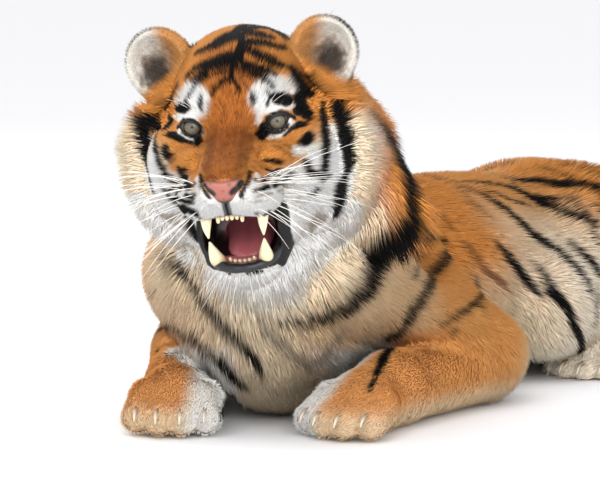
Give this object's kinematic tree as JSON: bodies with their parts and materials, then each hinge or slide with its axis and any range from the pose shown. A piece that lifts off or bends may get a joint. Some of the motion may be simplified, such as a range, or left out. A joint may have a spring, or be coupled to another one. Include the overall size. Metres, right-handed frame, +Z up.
{
  "type": "lying tiger",
  "caption": "Life-size Siberian tiger in winter coat, lying on its chest with its head up, turned and snarling.",
  "frame": {"origin": "on the floor, under the middle of the animal's box", "axes": "+Z up, the tiger faces -Y, so its left side is +X and its rump is towards +Y"},
  "size_m": [0.8052, 1.7378, 0.6399],
  "materials": {
    "coat": "striped fur",
    "claw": "horn",
    "eye": "wet",
    "tooth": "ivory",
    "nose": "moist skin",
    "tongue": "moist skin"
  },
  "bodies": {
    "root": {"belly": "coat", "chest": "coat", "claw_fore_L_1": "claw", "claw_fore_L_2": "claw", "claw_fore_L_3": "claw", "claw_fore_L_4": "claw", "claw_fore_R_1": "claw", "claw_fore_R_2": "claw", "claw_fore_R_3": "claw", "claw_fore_R_4": "claw", "claw_hind_L_1": "claw", "claw_hind_L_2": "claw", "claw_hind_L_3": "claw", "claw_hind_L_4": "claw", "claw_hind_R_1": "claw", "claw_hind_R_2": "claw", "claw_hind_R_3": "claw", "claw_hind_R_4": "claw", "ear_L": "coat", "ear_R": "coat", "eye_L": "eye", "eye_R": "eye", "forearm_L": "coat", "forearm_R": "coat", "forepaw_L": "coat", "forepaw_R": "coat", "head": "coat", "hindpaw_L": "coat", "hindpaw_R": "coat", "lower_canine_L": "tooth", "lower_canine_R": "tooth", "lower_incisors": "tooth", "lower_jaw": "coat", "neck": "coat", "nose": "nose", "rump": "coat", "shank_L": "coat", "shank_R": "coat", "tail_middle": "coat", "tail_root": "coat", "tail_tip": "coat", "thigh_L": "coat", "thigh_R": "coat", "tongue": "tongue", "upper_arm_L": "coat", "upper_arm_R": "coat", "upper_canine_L": "tooth", "upper_canine_R": "tooth", "upper_incisors": "tooth"}
  },
  "joints": []
}
